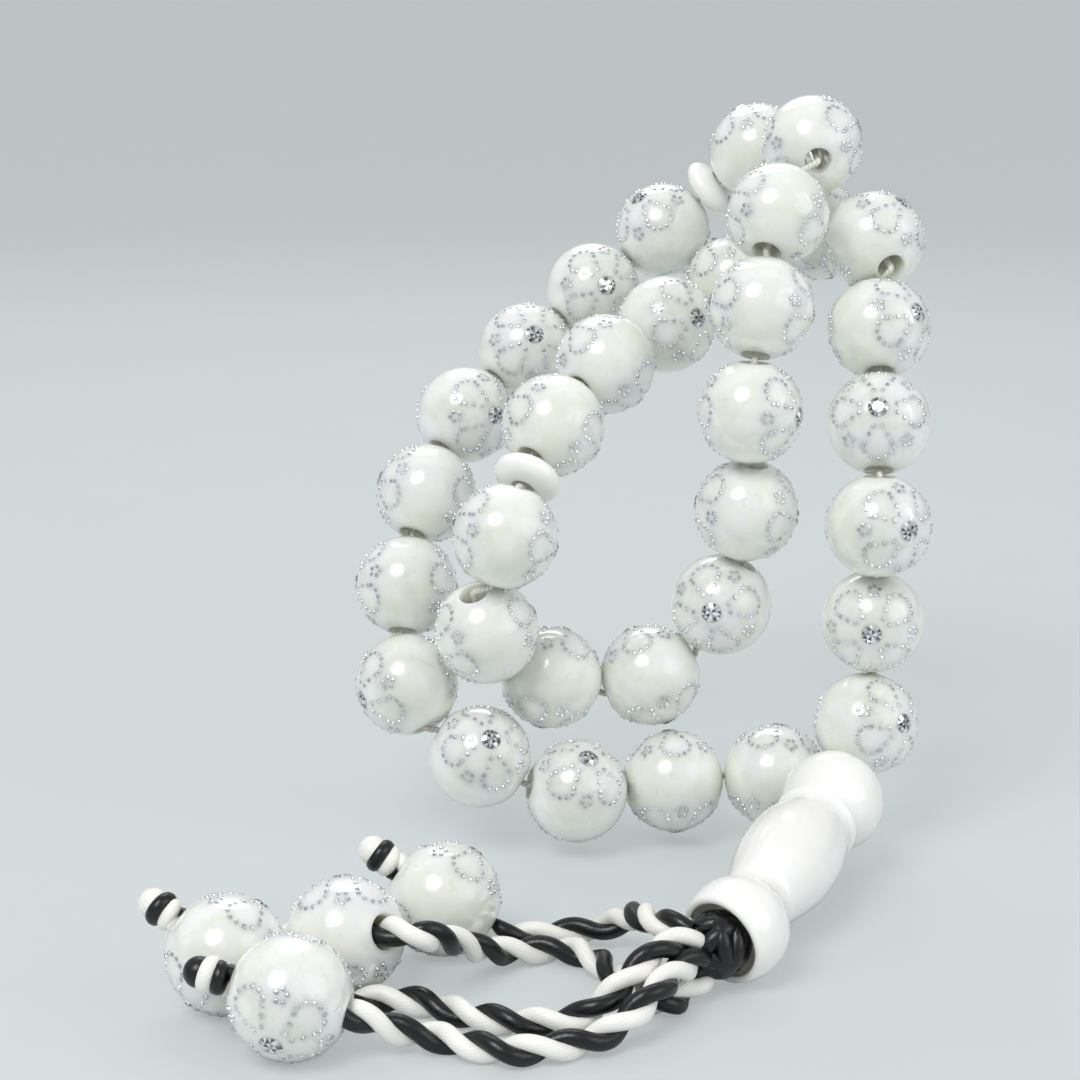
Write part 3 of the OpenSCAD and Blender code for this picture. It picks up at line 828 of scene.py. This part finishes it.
# %% Materials: satin plies and thread
def yarn_material(name, light, dark, yarns, yarn_lay_mm, roughness, sheen):
    """Yarns round a ply: the wave's phase is the angle times the number of yarns plus a
    full turn for each lay along the ply. It paints shade into the grooves by giving them
    the darker colour, broken up by random fuzz, and lifts the yarns with a bump."""
    material, tree, output = open_material(name)
    straight = add_node(tree, "ShaderNodeAttribute", attribute_name="straight").outputs["Vector"]
    parts = add_node(tree, "ShaderNodeSeparateXYZ", {0: straight})
    around = add_node(tree, "ShaderNodeMath", {0: parts.outputs[1], 1: parts.outputs[0]}, operation="ARCTAN2")
    wound = add_node(tree, "ShaderNodeMath", {0: around.outputs[0], 1: float(yarns)}, operation="MULTIPLY")
    run = add_node(tree, "ShaderNodeMath", {0: parts.outputs[2], 1: 2 * np.pi * yarns / (yarn_lay_mm * MM), 2: wound.outputs[0]}, operation="MULTIPLY_ADD")
    wave = add_node(tree, "ShaderNodeMath", {0: run.outputs[0]}, operation="SINE")
    fuzz = add_node(tree, "ShaderNodeTexNoise", {"Vector": straight, "Scale": 1 / (0.5 * MM), "Detail": 3.0})
    ridge = add_node(tree, "ShaderNodeMapRange", {"Value": wave.outputs[0], "From Min": -1.0})
    yarn_height_and_groove_shade = add_node(tree, "ShaderNodeMath", {0: ridge.outputs[0], 1: fuzz.outputs["Fac"]}, operation="MULTIPLY")
    # Painted shade: the grooves between the yarns take the darker colour and the ridges the lighter one
    tone = add_node(tree, "ShaderNodeMapRange", {"Value": yarn_height_and_groove_shade.outputs[0], "From Max": 0.55})
    colour = add_node(tree, "ShaderNodeMix", {FACTOR: tone.outputs[0], COLOUR_A: linear(dark), COLOUR_B: linear(light)}, data_type="RGBA")
    lift = add_node(tree, "ShaderNodeBump", {"Height": yarn_height_and_groove_shade.outputs[0], "Strength": 0.3, "Distance": 0.03 * MM})
    satin = add_node(tree, "ShaderNodeBsdfPrincipled", {"Base Color": colour.outputs[MIXED], "Roughness": roughness, "Normal": lift.outputs[0], "Sheen Weight": sheen, "Sheen Roughness": 0.35})
    tree.links.new(satin.outputs[0], output.inputs[0])
    return material


white_satin = yarn_material("viscose_satin_cord_white", "#F8F7F2", "#EEECE4", 14, 9.0, 0.38, 0.2)
black_satin = yarn_material("viscose_satin_cord_black", "#101013", "#050507", 14, 9.0, 0.3, 0.0)
white_thread = yarn_material("spun_polyester_thread", "#F2F0E8", "#CFCBBD", 3, 1.6, 0.6, 0.3)

# %% [markdown]
# ## The thread through the loop
#
# One thread comes up from the head knot through the cup and the barrel, turns in the
# ball, passes every bead and ends against itself in the ball. It shows only in the small
# gaps. Its corners are the hole mouths of each bead in turn, so it is straight inside
# a bead and bends between two of them.

# %% Thread
THREAD_R, THREAD_STEP = 0.36 * MM, 0.3 * MM
order = ([f"bead_{k:02d}" for k in range(1, 12)] + ["marker_disc_1"] + [f"bead_{k:02d}" for k in range(12, 23)]
         + ["marker_disc_2"] + [f"bead_{k:02d}" for k in range(23, 34)])
places = [joint_place(node) for node in order]
middles, ways = (np.array(x) for x in zip(*places))
half = np.array([0.98 * BEAD_R if node.startswith("bead") else DISC_HALF for node in order])[:, None]
mouths = np.stack([middles - half * ways, middles + half * ways], axis=1).reshape(-1, 3)
thread_corners = np.vstack([
    head_knot_at - cup_way * (HEAD_KNOT_D / 2 + 0.06 * MM),
    cup_at - cup_way * 3 * MM,
    cup_at - unit(barrel_way + cup_way) * (CUP_R - CUP_WALL / 2),
    cup_at - barrel_way * (CUP_R + 4 * MM),
    ball_at, mouths, ball_at + unit(mouths[-1] - ball_at) * 0.96 * MM,
])
thread_line = spaced(thread_corners, THREAD_STEP, window=3)
mesh = build_mesh("spun_thread", tube_surfaces(thread_line, THREAD_R, white_thread, sides=12, lobes=3, lobe_depth=0.08, lay=2.4 * MM))
place_piece("spun_thread", mesh, body_of["loop_string"], "string_thread", "loop_string")
print("thread:", round(length_of(thread_line) / MM), "mm")

# %% [markdown]
# ## Knots
#
# A tight knot shows a few turns of cord that press against each other. The real path
# inside can't be seen, so the visible turns are made as closed rings round a dark core,
# each tilted its own way. The head knot is all black, and an end knot shows its black
# and white plies in turn.


# %% Knots
def wound_ring(middle, axis, ring_radius, ply_radius, material, squash=1.0):
    """A closed turn of cord: a small circle carried round a large one, both about the
    axis. The small one is squashed along the axis where the turn is pulled tight."""
    side, other = (x[0] for x in across(unit(axis)[None]))
    big = np.linspace(0, 2 * np.pi, 40, endpoint=False)[:, None]
    small = np.linspace(0, 2 * np.pi, 12, endpoint=False)[None, :]
    away = ring_radius + ply_radius * np.cos(small)
    high = squash * ply_radius * np.sin(small) + 0 * big
    points = (middle + (away * np.cos(big))[..., None] * side + (away * np.sin(big))[..., None] * other
              + high[..., None] * unit(axis))
    straight = np.stack([ply_radius * np.cos(small) + 0 * big, high, ring_radius * big + 0 * small], axis=-1)
    faces = grid_faces(40, 12, closed_rows=True)
    return surface(points.reshape(-1, 3), faces, material, straight=straight.reshape(-1, 3))


def knot_core(middle, radius, material):
    """The mass inside a knot: a ball of 24 by 12 faces whose poles are rings of no width."""
    angle = np.linspace(0.02, np.pi - 0.02, 13)
    points, faces = turned(radius * np.stack([np.sin(angle), np.cos(angle)], axis=1), 24, closed=False)
    return surface(points + middle, faces, material, straight=points)


HEAD_TURNS = [[1, 0.2, 0.1], [0.1, 1, 0.3], [0.2, -0.3, 1], [0.8, 0.7, -0.5], [-0.7, 0.6, 0.6], [0.6, -0.8, 0.5]]
HEAD_PLY = 1.0 * MM
head_parts = [knot_core(head_knot_at, HEAD_KNOT_D / 2 - 0.9 * MM, black_satin)]
head_parts += [wound_ring(head_knot_at, turn, HEAD_KNOT_D / 2 - HEAD_PLY, HEAD_PLY, black_satin) for turn in HEAD_TURNS]
place_piece("tied_head_knot", build_mesh("tied_head_knot", head_parts), body_of["head_knot"], "tassel_cord", "head_knot")
print("head knot turns:", len(HEAD_TURNS))

# %% End knots
END_PLY = 0.86 * MM
LOBE_R = 1.55 * MM
END_ORDERS = [(white_satin, black_satin), (black_satin, white_satin)]
END_TILT = [0.3, -0.2]
for k in range(1, 5):
    inner, outer = END_ORDERS[k % 2]
    middle, way = joint_place(f"tassel_bead_{k}")
    at = middle - way * END_REACH
    lean = across(way[None])[0][0]
    # From the bead outwards: a turn, a turn of the other ply, and the lobe that closes it
    parts = [knot_core(at + way * 0.2 * MM, END_KNOT_D / 2 - 0.8 * MM, inner), knot_core(at - way * 0.75 * MM, LOBE_R, inner)]
    parts += [wound_ring(at + way * off * MM, way + lean * tilt, ring * MM, END_PLY, colour)
              for off, tilt, ring, colour in zip((1.2, 0.25), END_TILT, (0.85, 1.05), (inner, outer))]
    mesh = build_mesh(f"tied_end_knot_{k}", parts)
    place_piece(f"tied_end_knot_{k}", mesh, body_of[f"end_knot_{k}"], "tassel_cord", f"end_knot_{k}")

# %% [markdown]
# ## Tassel beads and their cords
#
# The tassel's beads are the same beads with a wider hole, because the cord is thicker
# than the thread. The cord is two plies twisted together. Each ply's middle goes round
# the cord's own line once in each lay, half a turn from the other, and a tube follows it.

# %% Tassel beads
TASSEL_TURN = [115, 145, 165, 155]
tassel_template = build_mesh("tassel_bead_template", bead_surfaces(ROPE_D / 2 + 0.1 * MM, ROPE_D / 2 + 0.45 * MM))
for k, turn in enumerate(TASSEL_TURN, 1):
    node = f"tassel_bead_{k}"
    middle, axis = joint_place(node)
    mesh = moved_copy(tassel_template, f"resin_{node}", standing(axis, turn), middle)
    place_piece(f"resin_{node}", mesh, body_of[node], "bead_resin", node)

# %% Two-ply cords
ROPE_LAY = 8.6 * MM
PLY_R, PLY_SQUEEZE = 0.88 * MM, 0.05 * MM
ROPE_PHASE = [200, 20, 90, 150]


def ply_line(line, phase):
    """A ply's middle: the cord's point moved out by the ply's offset, in a direction that
    turns once in each lay."""
    way, side, other = line_frames(line)
    along = np.concatenate([[0], np.cumsum(np.linalg.norm(np.diff(line, axis=0), axis=1))])
    angle = (2 * np.pi * along / ROPE_LAY + phase)[:, None]
    return line + (ROPE_D / 2 + PLY_SQUEEZE - PLY_R) * (np.cos(angle) * side + np.sin(angle) * other)


for k, (line, phase) in enumerate(zip(rope_routes, np.radians(ROPE_PHASE)), 1):
    parts = tube_surfaces(ply_line(line, phase), PLY_R, white_satin) + tube_surfaces(ply_line(line, phase + np.pi), PLY_R, black_satin)
    node = f"tassel_rope_{k}"
    piece = place_piece(f"twisted_{node}", build_mesh(f"twisted_{node}", parts), body_of[node], "tassel_cord", node)
print("tassel cords:", len(rope_routes))

# %% [markdown]
# ## Floor and light
#
# The floor is plain and pale, a shade darker than the beads so that they stand out on
# it. The world is an even soft light, and two soft lamps give the beads their round
# highlights: a large one high on the left in front, and a weaker one on the right.

# %% Floor
floor_material, tree, output = open_material("studio_paper_pale_grey")
place = add_node(tree, "ShaderNodeTexCoord").outputs["Object"]
grain = add_node(tree, "ShaderNodeTexNoise", {"Vector": place, "Scale": 60.0, "Detail": 2.0})
paper_tone = add_node(tree, "ShaderNodeMix", {FACTOR: grain.outputs["Fac"], COLOUR_A: linear("#CBD2D3"), COLOUR_B: linear("#CFD6D7")}, data_type="RGBA")
paper = add_node(tree, "ShaderNodeBsdfPrincipled", {"Base Color": paper_tone.outputs[MIXED], "Roughness": 0.8, "Specular IOR Level": 0.2})
# Seen straight by the camera, the paper is lifted part of the way to its own colour
camera_ray = add_node(tree, "ShaderNodeLightPath").outputs["Is Camera Ray"]
lifted = add_node(tree, "ShaderNodeMath", {0: camera_ray, 1: 0.5}, operation="MULTIPLY")
paper_glow = add_node(tree, "ShaderNodeEmission", {"Color": linear("#D3D9DA"), "Strength": 1.0})
paper_mix = add_node(tree, "ShaderNodeMixShader", {0: lifted.outputs[0], 1: paper.outputs[0], 2: paper_glow.outputs[0]})
tree.links.new(paper_mix.outputs[0], output.inputs[0])
FLAT_R, BOWL_R, BOWL_UP = 1.2, 3.0, 0.6


def bowl_profile(points=24):
    """Flat from the middle to where the paper begins to rise, and from there up with the
    square of the distance, so that no edge shows behind the object."""
    flat = np.stack([np.linspace(0.001, FLAT_R, 4), np.zeros(4)], axis=1)
    t = np.linspace(0, 1, points)[1:]
    return np.vstack([flat, np.stack([FLAT_R + (BOWL_R - FLAT_R) * t, BOWL_UP * t**2], axis=1)])


bowl_points, bowl_faces = turned(bowl_profile(), 96, closed=False)
floor_mesh = build_mesh("studio_floor", [surface(bowl_points + [0, 0, FLOOR_Z], bowl_faces[:, ::-1], floor_material)])
floor = bpy.data.objects.new("studio_floor", floor_mesh)
bpy.context.scene.collection.objects.link(floor)
floor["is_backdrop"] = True

# %% Lights
WORLD_LIGHT = 0.60
world = bpy.data.worlds.new("studio_world")
bpy.context.scene.world = world
world.use_nodes = True
world.node_tree.nodes.clear()
tree = world.node_tree
rays = add_node(tree, "ShaderNodeLightPath")
seen = add_node(tree, "ShaderNodeMath", {0: rays.outputs["Is Camera Ray"], 1: rays.outputs["Is Glossy Ray"]}, operation="MAXIMUM")
light = add_node(tree, "ShaderNodeBackground", {"Color": linear("#FBFCFF"), "Strength": WORLD_LIGHT})
backdrop = add_node(tree, "ShaderNodeBackground", {"Color": linear("#C3CACB"), "Strength": 1.0})
either = add_node(tree, "ShaderNodeMixShader", {0: seen.outputs[0], 1: light.outputs[0], 2: backdrop.outputs[0]})
world_out = add_node(tree, "ShaderNodeOutputWorld", {0: either.outputs[0]})

AIM = metres([-20, -25, -35])
LAMPS = {
    "key_softbox": ([-260, -420, 480], 0.36, 2.35),
    "fill_softbox": ([420, -300, 220], 0.45, 0.7),
    "back_softbox": ([-60, 420, 420], 0.40, 0.8),
}
for name, (at, size, watts) in LAMPS.items():
    lamp_data = bpy.data.lights.new(name, "AREA")
    lamp_data.shape, lamp_data.size, lamp_data.energy = "DISK", size, watts
    lamp = bpy.data.objects.new(name, lamp_data)
    lamp.location = metres(at)
    lamp.rotation_euler = (Vector(AIM) - lamp.location).to_track_quat("-Z", "Y").to_euler()
    bpy.context.scene.collection.objects.link(lamp)
print("lamps:", len(LAMPS))

# %% [markdown]
# ## Measure and close
#
# The pieces shouldn't have changed the object's size. The CAD box from the start and the
# box of the pieces now are written side by side.

# %% Measure
corners = lambda box: [list(map(float, corner)) for corner in box]
{"cad": corners(cad_box), "visual": corners(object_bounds())}
